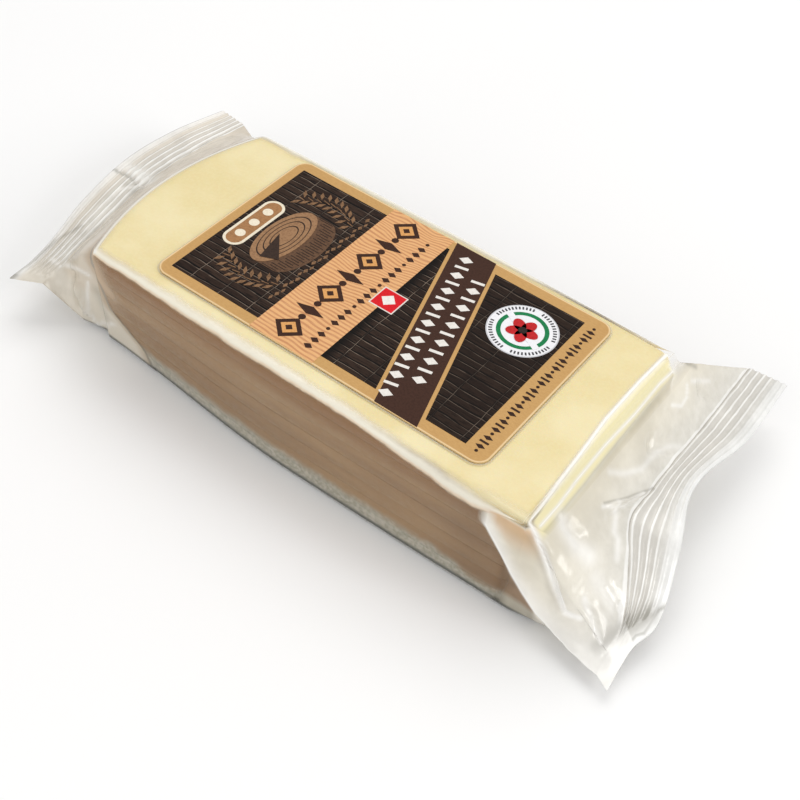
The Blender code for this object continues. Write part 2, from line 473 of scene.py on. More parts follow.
film = {
    "thickness": 0.0006,         # between the two sheets of a seal
    "foldRadius": 0.0004,
    "farBulge": 0.0060,
    "arcSteps": 8,
    "runPoints": (26, 112, 32, 22, 56, 22),
    "runLean": (1.7, 1.0, 1.0, 1.0, 1.0, 1.0),   # above 1 the points close up at the run's end
    "nearInner": (
        (0.1050, -0.0435, 0.0050), (0.1038, -0.0300, 0.0095), (0.0962, -0.0160, 0.0170),
        (0.0908, -0.0080, 0.0210), (0.0900, 0.0060, 0.0210), (0.0892, 0.0390, 0.0185),
        (0.0882, 0.0710, 0.0165),
    ),
    "nearCut": (
        (0.1095, -0.0450, 0.0035), (0.1085, -0.0320, 0.0055), (0.1100, -0.0190, 0.0090),
        (0.1050, -0.0040, 0.0160), (0.0990, 0.0110, 0.0185), (0.1010, 0.0440, 0.0165),
        (0.1000, 0.0735, 0.0150),
    ),
    "farInner": (
        (-0.0965, -0.0410, 0.0140), (-0.0975, -0.0310, 0.0155), (-0.0990, -0.0210, 0.0165),
        (-0.1005, -0.0080, 0.0180), (-0.1022, 0.0080, 0.0200), (-0.1022, 0.0320, 0.0205),
        (-0.1000, 0.0560, 0.0200),
    ),
    "farCut": (
        (-0.1055, -0.0460, 0.0140), (-0.1060, -0.0350, 0.0150), (-0.1080, -0.0240, 0.0165),
        (-0.1120, -0.0100, 0.0180), (-0.1150, 0.0100, 0.0200), (-0.1148, 0.0330, 0.0205),
        (-0.1105, 0.0570, 0.0200),
    ),
    "nearShares": (0.06, 0.80),  # where the block's edges run out in the seals
    "farShares": (0.12, 0.88),
    "nearFrontCrease": (
        (0.0625, -0.0388, 0.0313), (0.0700, -0.0388, 0.0220), (0.0740, -0.0389, 0.0168),
        (0.0786, -0.0390, 0.0120), (0.0837, -0.0395, 0.0079), (0.0901, -0.0405, 0.0062),
        (0.0957, -0.0415, 0.0049), (0.1050, -0.0435, 0.0050),
    ),
    "nearBackCrease": ((0.070, 0.0385, 0.034), (0.0882, 0.0710, 0.0165)),
    "farFrontHeight": 0.002,
    "farBackHeight": 0.028,
    "bandEdges": (               # x, and the white band's lower and upper edges from the block's edge
        (-0.080, -0.0012, 0.0046), (-0.060, -0.0008, 0.0054), (-0.020, -0.0012, 0.0062),
        (0.015, -0.0012, 0.0052), (0.031, -0.0024, 0.0046), (0.041, -0.0036, 0.0038),
        (0.053, -0.0058, 0.0030), (0.058, -0.0066, 0.0024), (0.064, -0.0052, 0.0012),
        (0.070, -0.0022, -0.0006), (0.073, -0.0012, -0.0009),
    ),
    "pocketEdge": (              # height, and the x where the far pocket of film starts on the side
        (0.0000, -0.0545), (0.0073, -0.0576), (0.0098, -0.0619), (0.0127, -0.0654), (0.0156, -0.0700),
        (0.0250, -0.0723), (0.0275, -0.0740), (0.0304, -0.0757), (0.0346, -0.0766), (0.0380, -0.0790),
    ),
    "ridges": 6,                 # crimped ridges in a seal
    "ridgeHeight": 0.00050,
    "ridgeFade": 0.06,
    "bandRings": 42,
    "nearTentRings": 66,
    "farTentRings": 46,
    # what each zone of rings has at its start and end: crumpling, milkiness, the cheese's warm
    # colour as a painted reflection, and the place in the crimp: 0 on a seal's inner edge, 1 on its cut
    # edge, below 0 in a tent
    "crumple": {
        "farBand": (0.15, 0.30), "farTent": (0.40, 0.50), "farCap": (0.30, 0.05),
        "nearCap": (0.03, 0.10), "nearTent": (0.18, 0.58), "nearBand": (0.30, 0.20),
    },
    "milk": {
        "farBand": (0.94, 0.90), "farTent": (0.88, 0.82), "farCap": (0.78, 0.30), "block": (0.03, 0.03),
        "nearCap": (0.08, 0.88), "nearTent": (0.90, 0.90), "nearBand": (0.93, 0.96),
    },
    "cheeseReflection": {
        "farBand": (0.0, 0.05), "farTent": (0.05, 0.35), "farCap": (0.4, 0.9), "block": (1.0, 1.0),
        "nearCap": (1.0, 0.9), "nearTent": (0.85, 0.25), "nearBand": (0.15, 0.0),
    },
    "crimp": {
        "farBand": (1.0, 0.0), "farTent": (0.0, -0.5), "nearTent": (-0.5, 0.0), "nearBand": (0.0, 1.0),
    },
}
ringCorners = 6

# Creases pressed or pulled in the film, each a line of points, its height and its half width
creases = {
    "nearTension": (((0.0755, -0.038, 0.0372), (0.081, -0.037, 0.030), (0.0857, -0.038, 0.022),
                     (0.0905, -0.0387, 0.014), (0.095, -0.0377, 0.014)), 0.0009, 0.0007),
    "nearSmallRidge": (((0.093, -0.0357, 0.019), (0.0968, -0.0346, 0.014), (0.1016, -0.0376, 0.008)),
                       0.0008, 0.0007),
    "nearKink": (((0.0897, 0.0052, 0.021), (0.0880, -0.004, 0.0245), (0.0850, -0.013, 0.028)),
                 -0.0009, 0.0008),
    "nearKinkRidge": (((0.0897, 0.0030, 0.021), (0.0885, -0.007, 0.0245), (0.0865, -0.016, 0.0265)),
                      0.0007, 0.0009),
    "nearWave": (((0.0800, 0.0160, 0.029), (0.0835, 0.0120, 0.026), (0.0862, 0.0160, 0.024),
                  (0.0882, 0.0215, 0.021)), 0.0008, 0.0012),
    "nearWaveBack": (((0.0815, 0.0440, 0.029), (0.0850, 0.0420, 0.026), (0.0872, 0.0450, 0.022)),
                     0.0007, 0.0011),
    "nearLowBlob": (((0.0946, -0.0267, 0.020), (0.0990, -0.0272, 0.015), (0.1030, -0.0278, 0.012)),
                    0.0010, 0.0020),
    "nearHighBlob": (((0.0800, -0.0275, 0.033), (0.0840, -0.0260, 0.029), (0.0875, -0.0245, 0.026)),
                     0.0009, 0.0022),
    "farPocket": (((-0.0860, -0.0345, 0.020), (-0.0850, -0.0330, 0.012), (-0.0835, -0.0325, 0.004)),
                  -0.0022, 0.0011),
    "farPocketRidge": (((-0.0890, -0.0350, 0.020), (-0.0880, -0.0345, 0.012), (-0.0865, -0.0335, 0.005)),
                       0.0014, 0.0010),
    "farCrossRidge": (((-0.1010, -0.0385, 0.0150), (-0.0930, -0.0370, 0.0190), (-0.0860, -0.0350, 0.0200)),
                      0.0012, 0.0009),
    "farTentRidge": (((-0.1000, -0.0330, 0.0165), (-0.0920, -0.0270, 0.0230), (-0.0870, -0.0220, 0.0290)),
                     0.0009, 0.0010),
    "farStepRidge": (((-0.1150, 0.0110, 0.0203), (-0.1074, 0.0116, 0.0205), (-0.0977, 0.0075, 0.0234)),
                     0.0006, 0.0022),
}

# Painted highlights and painted shade on the bent film, each a line of points, its half width and strength
topRim = ((0.0731, 0.0356, 0.0378), (0.0725, 0.0220, 0.0380), (0.0725, 0.0043, 0.0380),
          (0.0737, -0.0108, 0.0380), (0.0745, -0.0230, 0.0379), (0.0755, -0.0362, 0.0374))
secondRim = ((0.0768, 0.0340, 0.0353), (0.0764, 0.0272, 0.0356), (0.0768, 0.0134, 0.0353),
             (0.0764, -0.0020, 0.0356), (0.0767, -0.0159, 0.0352), (0.0773, -0.0260, 0.0345),
             (0.0773, -0.0345, 0.0345))
thirdRim = ((0.0777, 0.0329, 0.0344), (0.0776, 0.0200, 0.0343), (0.0779, 0.0071, 0.0339),
            (0.0782, -0.0046, 0.0335), (0.0786, -0.0143, 0.0332), (0.0789, -0.0288, 0.0327))
highlightLines = (
    (topRim, 0.00080, 1.0), (secondRim, 0.00060, 1.0), (thirdRim, 0.00070, 0.60),
    # the line pulled down from the block's near front corner
    (((0.0755, -0.0370, 0.0370), (0.0778, -0.0366, 0.0334), (0.0824, -0.0369, 0.0259),
      (0.0869, -0.0371, 0.0186), (0.0910, -0.0379, 0.0133), (0.0949, -0.0373, 0.0139)), 0.00090, 1.0),
    (((0.0935, -0.0343, 0.0179), (0.0961, -0.0352, 0.0146), (0.0986, -0.0360, 0.0118),
      (0.1020, -0.0372, 0.0092)), 0.00085, 0.85),
    # painted highlights in patches on the near tent
    (((0.0792, -0.0270, 0.0324), (0.0820, -0.0279, 0.0290), (0.0851, -0.0278, 0.0265)), 0.00260, 0.85),
    (((0.0851, -0.0278, 0.0265), (0.0888, -0.0264, 0.0236)), 0.00290, 0.80),
    (((0.0930, -0.0283, 0.0195), (0.0958, -0.0281, 0.0160), (0.0988, -0.0280, 0.0134)), 0.00260, 0.50),
    (((0.0867, -0.0085, 0.0254), (0.0896, -0.0147, 0.0227), (0.0914, -0.0150, 0.0211),
      (0.0938, -0.0190, 0.0192)), 0.00110, 0.80),
    (((0.0894, 0.0013, 0.0233), (0.0876, -0.0062, 0.0235), (0.0843, -0.0135, 0.0275)), 0.00060, 0.75),
    (((0.0807, -0.0050, 0.0309), (0.0832, -0.0009, 0.0283), (0.0854, 0.0057, 0.0258),
      (0.0854, 0.0107, 0.0258), (0.0853, 0.0158, 0.0242), (0.0871, 0.0212, 0.0230),
      (0.0887, 0.0242, 0.0207)), 0.00100, 0.60),
    (((0.0814, 0.0280, 0.0299), (0.0829, 0.0317, 0.0275), (0.0826, 0.0352, 0.0279),
      (0.0810, 0.0374, 0.0301)), 0.00065, 0.65),
    (((0.0811, 0.0402, 0.0295), (0.0836, 0.0484, 0.0247)), 0.00080, 0.60),
    # the far end: folds of the front pocket, streaks of the tent and the bright side of the step
    (((-0.0810, -0.0357, 0.0209), (-0.0837, -0.0351, 0.0084), (-0.0811, -0.0341, 0.0019),
      (-0.0727, -0.0356, 0.0088)), 0.00070, 0.70),
    (((-0.1008, -0.0321, 0.0157), (-0.0933, -0.0329, 0.0185), (-0.0845, -0.0360, 0.0243),
      (-0.0799, -0.0359, 0.0245)), 0.00090, 0.70),
    (((-0.1043, -0.0149, 0.0179), (-0.1057, -0.0067, 0.0187), (-0.1065, 0.0025, 0.0197),
      (-0.1035, 0.0062, 0.0206)), 0.00070, 0.55),
    (((-0.1018, -0.0165, 0.0174), (-0.1025, -0.0123, 0.0178), (-0.1036, -0.0059, 0.0189)), 0.00060, 0.60),
    (((-0.1140, 0.0118, 0.0203), (-0.1070, 0.0125, 0.0205), (-0.0975, 0.0095, 0.0234)), 0.00260, 0.65),
)
shadeLines = (
    (((0.0900, 0.0060, 0.0213), (0.0888, 0.0010, 0.0230), (0.0864, -0.0067, 0.0256),
      (0.0841, -0.0123, 0.0277)), 0.00040, 0.60),
    # beside the line pulled down from the block's near front corner
    (((0.0767, -0.0381, 0.0337), (0.0802, -0.0374, 0.0273), (0.0850, -0.0378, 0.0185),
      (0.0895, -0.0382, 0.0138)), 0.00110, 0.22),
    # painted shade on the zigzag edge of the near front corner's flap, and a painted shadow beside it
    (((0.1098, -0.0170, 0.0100), (0.1088, -0.0191, 0.0101), (0.1089, -0.0262, 0.0076),
      (0.1075, -0.0282, 0.0075), (0.1074, -0.0300, 0.0070), (0.1060, -0.0325, 0.0079)), 0.00060, 0.80),
    (((0.1060, -0.0325, 0.0079), (0.1062, -0.0352, 0.0070), (0.1084, -0.0371, 0.0052),
      (0.1089, -0.0391, 0.0045)), 0.00100, 0.70),
    (((0.1024, -0.0377, 0.0084), (0.1030, -0.0346, 0.0093), (0.1044, -0.0304, 0.0090),
      (0.1062, -0.0264, 0.0092), (0.1075, -0.0221, 0.0098)), 0.00260, 0.90),
    (((0.1035, -0.0365, 0.0080), (0.1052, -0.0385, 0.0062), (0.1072, -0.0412, 0.0048)), 0.00220, 0.60),
    # the far end: a hollow of the pocket, the step, the tent's hollow and the rolled tip
    (((-0.0775, -0.0358, 0.0190), (-0.0765, -0.0358, 0.0150), (-0.0750, -0.0355, 0.0100)), 0.00220, 0.45),
    (((-0.1148, 0.0082, 0.0203), (-0.1074, 0.0088, 0.0205), (-0.0977, 0.0049, 0.0234)), 0.00075, 0.80),
    (((-0.1055, 0.0060, 0.0203), (-0.0990, 0.0035, 0.0225)), 0.00180, 0.35),
    (((-0.0860, -0.0330, 0.0270), (-0.0900, -0.0310, 0.0220), (-0.0950, -0.0300, 0.0180)), 0.00220, 0.30),
    (((-0.1055, -0.0460, 0.0140), (-0.1052, -0.0435, 0.0144)), 0.00120, 0.90),
    (((-0.1052, -0.0435, 0.0144), (-0.1053, -0.0358, 0.0155), (-0.1058, -0.0246, 0.0166),
      (-0.1042, -0.0166, 0.0175)), 0.00060, 0.45),
    (((0.0774, 0.0424, 0.0323), (0.0790, 0.0450, 0.0300)), 0.00090, 0.60),
)


def cornerRing(corners, radii):
    corners = np.array(corners)
    arcs = []
    for index in range(ringCorners):
        corner = corners[index]
        before = corners[index - 1] - corner
        after = corners[(index + 1) % ringCorners] - corner
        enter = corner + before * min(radii[index] / np.linalg.norm(before), 0.45)
        leave = corner + after * min(radii[index] / np.linalg.norm(after), 0.45)
        arcs.append((enter, corner, leave))
    ring = []
    for index in range(ringCorners):
        enter, corner, leave = arcs[index]
        for step in range(film["arcSteps"] + 1):
            u = step / film["arcSteps"]
            ring.append(mix(mix(enter, corner, u), mix(corner, leave, u), u))
        nextEnter = arcs[(index + 1) % ringCorners][0]
        for share in runShares(index):
            ring.append(mix(leave, nextEnter, share))
    return np.array(ring)


def runShares(index):            # where the points of a run lie between its two corners
    count = film["runPoints"][index]
    return [1.0 - (1.0 - step / (count + 1)) ** film["runLean"][index] for step in range(1, count + 1)]


def sealKnots(inner):
    steps = np.linalg.norm(np.diff(inner, axis=0), axis=1)
    return np.concatenate(((0.0,), np.cumsum(steps))) / steps.sum()


def sealLine(points, knots, shares):      # smooth line through the points of a seal
    slopes = np.gradient(points, knots, axis=0)
    index = np.clip(np.searchsorted(knots, shares, side="right") - 1, 0, len(knots) - 2)
    width = (knots[index + 1] - knots[index])[:, None]
    u = (shares - knots[index])[:, None] / width
    start = (1.0 + 2.0 * u) * (1.0 - u) ** 2 * points[index]
    end = (3.0 - 2.0 * u) * u * u * points[index + 1]
    leave = u * (1.0 - u) ** 2 * width * slopes[index]
    arrive = (u - 1.0) * u * u * width * slopes[index + 1]
    return start + end + leave + arrive


def sealPlan(edgeShares):                 # each ring point's share along the seal, and its sheet
    front, back = edgeShares
    shares = (0.0, front, back, 1.0, back, front)
    cornerReach = 0.10
    plan = []
    for index in range(ringCorners):
        here = shares[index]
        nextHere = shares[(index + 1) % ringCorners]
        enter = mix(here, shares[index - 1], cornerReach)
        leave = mix(here, nextHere, cornerReach)
        nextEnter = mix(nextHere, here, cornerReach)
        sheet = 1.0 if index < ringCorners // 2 else -1.0
        for step in range(film["arcSteps"] + 1):
            u = step / film["arcSteps"]
            side = sheet
            if index == 0:
                side = 2.0 * u - 1.0
            if index == ringCorners // 2:
                side = 1.0 - 2.0 * u
            plan.append((mix(mix(enter, here, u), mix(here, leave, u), u), side))
        for share in runShares(index):
            plan.append((mix(leave, nextEnter, share), sheet))
    return np.array(plan)


def sealBand(inner, cut, edgeShares):
    inner = np.array(inner)
    cut = np.array(cut)
    knots = sealKnots(inner)
    plan = sealPlan(edgeShares)
    shares, sides = plan[:, 0], plan[:, 1]
    rings = []
    for row in range(film["bandRings"] + 1):
        out = row / film["bandRings"]
        ring = sealLine(mix(inner, cut, out), knots, shares)
        fade = smooth((shares - ridgeStart(inner[0, 0] > 0.0, out) + 0.02) / film["ridgeFade"])
        wave = 0.5 - 0.5 * math.cos(2.0 * math.pi * film["ridges"] * out)
        lift = film["ridgeHeight"] * (wave ** 1.6 - 0.4)
        ring[:, 2] += sides * film["thickness"] / 2.0 + lift * fade
        rings.append(ring)
    return rings


def lineAt(line, x):             # the point of a line of points that lies at x
    places, across, heights = np.array(line).T
    return np.stack((x, np.interp(x, places, across), np.interp(x, places, heights)), -1)


def blockRing(x):
    toEnd = min(block["nearEnd"] - x, x - block["farEnd"])
    tuck = block["endRadius"] * (1.0 - np.sqrt(1.0 - max(0.0, 1.0 - toEnd / block["endRadius"]) ** 2))
    wide = halfWidth(x) - (tuck if x < 0.0 else 0.0)
    top = block["height"] - tuck
    foot = -wide + footLean(x, 0.0)
    frontLine, backLine = film["nearFrontCrease"], film["nearBackCrease"]
    along = (x - block["farEnd"]) / (frontLine[0][0] - block["farEnd"])
    frontHeight = mix(film["farFrontHeight"], frontLine[0][2], along)
    front = np.array((x, mix(foot, -wide, frontHeight / top), frontHeight))
    back = np.array((x, wide, mix(film["farBackHeight"], backLine[0][2], along)))
    if x > frontLine[0][0]:
        front = lineAt(frontLine, x)
    if x > backLine[0][0]:
        back[1] = wide + (x - backLine[0][0]) * 0.35
        back[2] = backLine[0][2] - (x - backLine[0][0]) * 0.15
    corners = (front, (x, -wide, top), (x, wide, top), back, (x, wide, 0.0), (x, foot, 0.0))
    sharpen = smooth(1.0 - (block["nearEnd"] - x) / block["nearSharpening"])
    topRadius = mix(block["edgeRadius"], block["endRadius"], sharpen)
    fold, footRadius = film["foldRadius"], block["footRadius"]
    ring = cornerRing(corners, (fold, topRadius, topRadius, fold, footRadius, footRadius))
    ring[:, 0] -= farShift(x, ring[:, 1])
    return ring


def sliceEndRing():
    corners = (
        lineAt(film["nearFrontCrease"], 0.0790), (0.0795, -0.0370, 0.0320), (0.0795, 0.0370, 0.0325),
        (0.0785, 0.0450, 0.0315), (0.0785, 0.0380, 0.0), (0.0785, -0.0382, 0.0),
    )
    fold = film["foldRadius"]
    return cornerRing(corners, (fold, 0.003, 0.003, fold, 0.002, 0.002))


def farFilmRing():
    corners = (
        (-0.0840, -0.0352, 0.0015), (-0.0820, -0.0362, 0.0305), (-0.0830, 0.0415, 0.0315),
        (-0.0835, 0.0445, 0.0255), (-0.0825, 0.0385, 0.0040), (-0.0815, -0.0325, 0.0010),
    )
    fold = film["foldRadius"]
    ring = cornerRing(corners, (fold, 0.003, 0.003, fold, 0.002, 0.002))
    ring[:, 0] -= film["farBulge"] * (1.0 - (ring[:, 1] / 0.0445) ** 2)
    return ring


def between(first, last, count):          # rings between two rings, without the two
    return [mix(first, last, step / (count + 1)) for step in range(1, count + 1)]


def layFilm():
    farBand = sealBand(film["farInner"], film["farCut"], film["farShares"])
    nearBand = sealBand(film["nearInner"], film["nearCut"], film["nearShares"])
    farFilm, farEdge = farFilmRing(), blockRing(block["farEnd"])
    nearEdge, sliceEnds = blockRing(block["nearEnd"]), sliceEndRing()
    rings = []
    zones = []                            # zone name and share from its start, for each ring

    def lay(part, zone):
        for index, ring in enumerate(part):
            rings.append(ring)
            zones.append((zone, (index + 1.0) / (len(part) + 1.0)))

    lay(list(reversed(farBand)), "farBand")
    lay(between(farBand[0], farFilm, film["farTentRings"]), "farTent")
    lay([farFilm] + between(farFilm, farEdge, 8) + [farEdge], "farCap")
    places = [block["farEnd"] + block["endRadius"] * share for share in (0.15, 0.4, 0.7, 1.0)]
    places += [-0.0729] + list(np.linspace(-0.0715, 0.0705, 50)) + list(np.linspace(0.0713, 0.0737, 8))
    places += [block["nearEnd"] - block["endRadius"] * share for share in (1.0, 0.7, 0.4, 0.15)]
    lay([blockRing(place) for place in places], "block")
    lay([nearEdge] + between(nearEdge, sliceEnds, 12) + [sliceEnds], "nearCap")
    lay(between(sliceEnds, nearBand[0], film["nearTentRings"]), "nearTent")
    lay(nearBand, "nearBand")
    return np.array(rings), zones


def gridNormals(grid):
    across = np.roll(grid, -1, axis=1) - np.roll(grid, 1, axis=1)
    along = np.gradient(grid, axis=0)
    normals = np.cross(across, along)
    lengths = np.linalg.norm(normals, axis=2, keepdims=True)
    return normals / np.maximum(lengths, 1e-12)


def toLine(points, normals, line):        # distance to a line of points over the sheet, and the share along
    line = np.array(line)
    best = np.full(points.shape[:-1], 1.0)
    share = np.zeros(points.shape[:-1])
    for index in range(len(line) - 1):
        start, step = line[index], line[index + 1] - line[index]
        along = np.clip(((points - start) @ step) / (step @ step), 0.0, 1.0)
        offset = points - start - along[..., None] * step
        depth = np.sum(offset * normals, axis=-1)
        distance = np.linalg.norm(offset - depth[..., None] * normals, axis=-1)
        distance += 10.0 * np.maximum(np.abs(depth) - 0.0030, 0.0)
        closer = distance < best
        best = np.where(closer, distance, best)
        share = np.where(closer, (index + along) / (len(line) - 1), share)
    return best, share


def zoneWeight(zones, weights, other=0.0):       # each ring's weight, from its zone's first and last
    values = [mix(*weights.get(zone, (other, other)), share) for zone, share in zones]
    return np.array(values)[:, None]


def crumple(grid, scale, octaves):        # sharp ridged noise about zero
    values = np.zeros(grid.shape[:2])
    for row in range(grid.shape[0]):
        for column in range(grid.shape[1]):
            spot = Vector(grid[row, column]) * scale
            total, size = 0.0, 1.0
            for octave in range(octaves):
                seed = spot * 2.0 ** octave + Vector((octave * 7.3, 0.0, 0.0))
                total += size * (0.35 - abs(noise.noise(seed)))
                size *= 0.5
            values[row, column] = total
    return values


def bell(distance, width):
    return np.exp(-(distance / width) ** 2)


def creaseFilm(grid, zones):
    normals = gridNormals(grid)
    push = crumple(grid, 95.0, 3) * 0.0011 * zoneWeight(zones, film["crumple"])
    for line, height, width in creases.values():
        distance, share = toLine(grid, normals, line)
        taper = smooth(share * 4.0) * smooth((1.0 - share) * 4.0)
        push += height * bell(distance, width) * taper
    return grid + normals * push[..., None]


def onTop(z):                             # on the block's flat top
    return z > block["height"] - 0.0002


def raiseUnderLabel(grid):                # the film clings to the back of the label
    x, y, z = grid[..., 0], grid[..., 1], grid[..., 2]
    low, high = label["low"], label["high"]
    outX = np.maximum(np.maximum(low[0] - x, x - high[0]), 0.0)
    outY = np.maximum(np.maximum(low[1] - y, y - high[1]), 0.0)
    cling = smooth(1.0 - np.hypot(outX, outY) / label["clingReach"]) * onTop(z)
    grid[..., 2] = z + cling * label["clingRise"]
    return grid


def paintLines(grid, lines):              # strength of the lines at each point, fading to their sides
    normals = gridNormals(grid)
    value = np.zeros(grid.shape[:2])
    for line, width, strength in lines:
        distance, _ = toLine(grid, normals, line)
        value = np.maximum(value, strength * bell(distance, width))
    return value


def frontSheets(grid):                    # points above the front crease, and those below it
    columns = np.arange(grid.shape[1])
    upper = (columns >= film["arcSteps"] // 2) & (columns < topStart())
    lower = (columns < film["arcSteps"] // 2) | (columns >= footStart(grid.shape[1]))
    return upper[None, :], lower[None, :]


def footStart(count):                     # column where the bottom turns up into the front side
    return count - film["runPoints"][5] - film["arcSteps"] - 1


def topStart():                           # column where the top begins, past the front's top corner
    return 2 * (film["arcSteps"] + 1) + film["runPoints"][0]


def aboveLine(grid, line):                # distance of points over a slanted line, seen from the front
    points = np.array(line)
    return (grid[..., 2] - np.interp(grid[..., 0], points[:, 0], points[:, 2])) * 0.65


def hangFrontCrease(grid, zones):         # the near tent's front crease sags to its line
    count = grid.shape[1]
    columns = np.arange(count)
    middle = film["arcSteps"] // 2
    upper = smooth(1.0 - (columns - middle) / (topStart() + 6.0 - middle)) * (columns >= middle)
    lower = smooth((columns - footStart(count)) / (count - footStart(count))) * (columns > count // 2)
    weight = np.maximum(np.maximum(upper, lower), columns < middle)
    for row, (zone, _) in enumerate(zones):
        if zone == "nearTent":
            here = grid[row, middle]
            step = lineAt(film["nearFrontCrease"], here[0]) - here
            grid[row] += step * weight[:, None]
    return grid


# The film's tints: where each one starts, along X where the note says nothing else, and the length
# over which it comes in. It fades out over a length below 0.

tinting = {
    "ear": (0.0628, 0.0015),     # the ear is the film that hangs from the top edge to the front crease
    "earTop": (0.0370, -0.0016),          # height
    "earMilk": 0.93,
    "under": (0.0700, 0.0055),            # below the front crease
    "underMilk": 0.95,
    "tan": (0.0685, 0.0025),
    "tanEnd": (0.0850, -0.0030),
    "amber": (0.0632, 0.0028),
    "amberOver": (0.0014, 0.0040),        # distance over the front crease
    "amberLow": (0.0235, 0.0105),         # height
    "amberTop": (0.0364, -0.0016),        # height
    "amberEnd": (0.0, -0.0012),           # past the line pulled down from the near front corner
    "pulledLine": (0.0762, 0.0370, 0.62),  # x and height of that line's top, and its slant
    "creamHighlight": (0.0, 0.0005),               # past the top rim's line
    "creamEnd": (0.0012, -0.0022),        # past the third rim's line
    "creamFront": (-0.0378, 0.0028),      # y
    "creamBack": (0.0355, -0.0020),       # y
    "creamLow": 0.0300,
    "frontLight": (0.0560, 0.0080),
    "frontLightEnd": 0.0750,
    "frontLightLow": 0.0350,
    "farEdgeLow": 0.0368,
    "farEdgeReach": 0.0375,               # half its length
}


def ramp(value, limits):
    start, length = limits
    return smooth((value - start) / length)


def filmMilk(grid, zones):                # how milky the film is at each point
    x, z = grid[..., 0], grid[..., 2]
    upper, lower = frontSheets(grid)
    ear = ramp(x, tinting["ear"]) * ramp(z, tinting["earTop"]) * upper
    milk = np.maximum(zoneWeight(zones, film["milk"]), ear * tinting["earMilk"])
    return mix(milk, tinting["underMilk"], ramp(x, tinting["under"]) * lower)


def filmTan(grid):                        # the rind tints the film below the front crease
    x = grid[..., 0]
    _, lower = frontSheets(grid)
    return lower * ramp(x, tinting["tan"]) * ramp(x, tinting["tanEnd"])


def filmAmber(grid):                      # the rind glows through the ear's upper part
    x, z = grid[..., 0], grid[..., 2]
    upper, _ = frontSheets(grid)
    topX, topZ, slant = tinting["pulledLine"]
    pulledLine = topX + (topZ - z) * slant
    amber = upper * ramp(aboveLine(grid, film["nearFrontCrease"]), tinting["amberOver"])
    amber = amber * ramp(x, tinting["amber"]) * ramp(x - pulledLine, tinting["amberEnd"])
    return amber * ramp(z, tinting["amberLow"]) * ramp(z, tinting["amberTop"])


def rimPlaces(rim, y):                    # where a line along the near rim lies at each y
    places, across, _ = np.array(rim[::-1]).T
    return np.interp(y, across, places)


def filmCreamHighlight(grid):                      # painted highlight: the film over the slices' near ends takes the cream of the lit cheese under it
    x, y, z = grid[..., 0], grid[..., 1], grid[..., 2]
    inside = ramp(x - rimPlaces(topRim, y), tinting["creamHighlight"])
    inside = inside * ramp(x - rimPlaces(thirdRim, y), tinting["creamEnd"]) * (z > tinting["creamLow"])
    inside = inside * ramp(y, tinting["creamFront"]) * ramp(y, tinting["creamBack"])
    # and a soft painted highlight runs along the top's front edge towards the near corner
    edge = (halfWidth(x) - np.abs(y)) - (block["height"] - z)
    light = 0.7 * bell(edge - 0.0012, 0.0020) * ramp(x, tinting["frontLight"]) * (y < 0.0)
    return np.maximum(inside, light * (z > tinting["frontLightLow"]) * (x < tinting["frontLightEnd"]))


def filmHighlights(grid):                     # painted highlights: the highlight lines, the front crease and the far top edge
    x, y, z = grid[..., 0], grid[..., 1], grid[..., 2]
    upper, lower = frontSheets(grid)
    over = aboveLine(grid, film["nearFrontCrease"])
    crease = np.maximum(0.78 * bell(over, 0.0034), bell(over, 0.0009)) * upper
    crease = np.maximum(crease, bell(over, 0.0005) * lower) * ramp(x, tinting["ear"])
    fromFarEdge = x + farShift(x, y) - block["farEnd"] - 0.0012
    onFarEdge = (z > tinting["farEdgeLow"]) * (np.abs(y) < tinting["farEdgeReach"])
    farEdge = 0.9 * bell(fromFarEdge, 0.0007) * onFarEdge
    value = np.maximum(paintLines(grid, highlightLines), np.maximum(crease, farEdge))
    return np.clip(value, 0.0, 1.0)


def ridgeStart(isNear, out):              # share of a seal where a ridge starts, by its place in the seal
    return 0.105 + 0.22 * out ** 2 if isNear else 0.05


def pressedSeal(zones):                   # 0 at a seal's front corner, where its ridges run out, then 1
    near, far = sealPlan(film["nearShares"])[:, 0], sealPlan(film["farShares"])[:, 0]
    values = []
    for zone, share in zones:
        if zone.startswith("near"):
            values.append(smooth((near - ridgeStart(True, share if zone == "nearBand" else 0.0)) / 0.030))
        else:
            values.append(smooth((far - ridgeStart(False, 0.0)) / 0.10))
    return np.array(values)


def whiteBand(grid):                      # 0 on the lower edge of the white band, 1 where it has faded
    x, y, z = grid[..., 0], np.abs(grid[..., 1]), grid[..., 2]
    edge = (halfWidth(x) - y) - (block["height"] - z)
    places, lowers, uppers = np.array(film["bandEdges"]).T
    lower, upper = np.interp(x, places, lowers), np.interp(x, places, uppers)
    value = (edge - lower) / (upper - lower)
    outside = (z < 0.026) | (x > 0.0745) | (x + farShift(x, y) < block["farEnd"] - 0.0002)
    return np.where(outside, -1.0, np.clip(value, -1.0, 2.0))


def farCover(grid):                       # how far a point is past the line where the far pocket starts
    x, z = grid[..., 0], grid[..., 2]
    heights, limits = np.array(film["pocketEdge"]).T
    past = np.interp(z, heights, limits) - x
    return np.where(onTop(z), -0.01, past)


def labelDistance(surface):      # how far a point lies outside the label's rounded outline
    low, high, radius = label["low"], label["high"], label["cornerRadius"]
    middle = (-(low[0] + high[0]) / 2.0, -(low[1] + high[1]) / 2.0, 0.0)
    reach = ((high[0] - low[0]) / 2.0 - radius, (high[1] - low[1]) / 2.0 - radius, 0.0)
    none = (0.0, 0.0, 0.0)
    value = surface.stretch((1.0, 1.0, 0.0), middle)
    for operation, other in (("ABSOLUTE", none), ("SUBTRACT", reach), ("MAXIMUM", none)):
        value = surface.add("VectorMath", {0: value, 1: other}, "Vector", operation=operation)
    return surface.add("VectorMath", {0: value}, "Value", operation="LENGTH") - radius


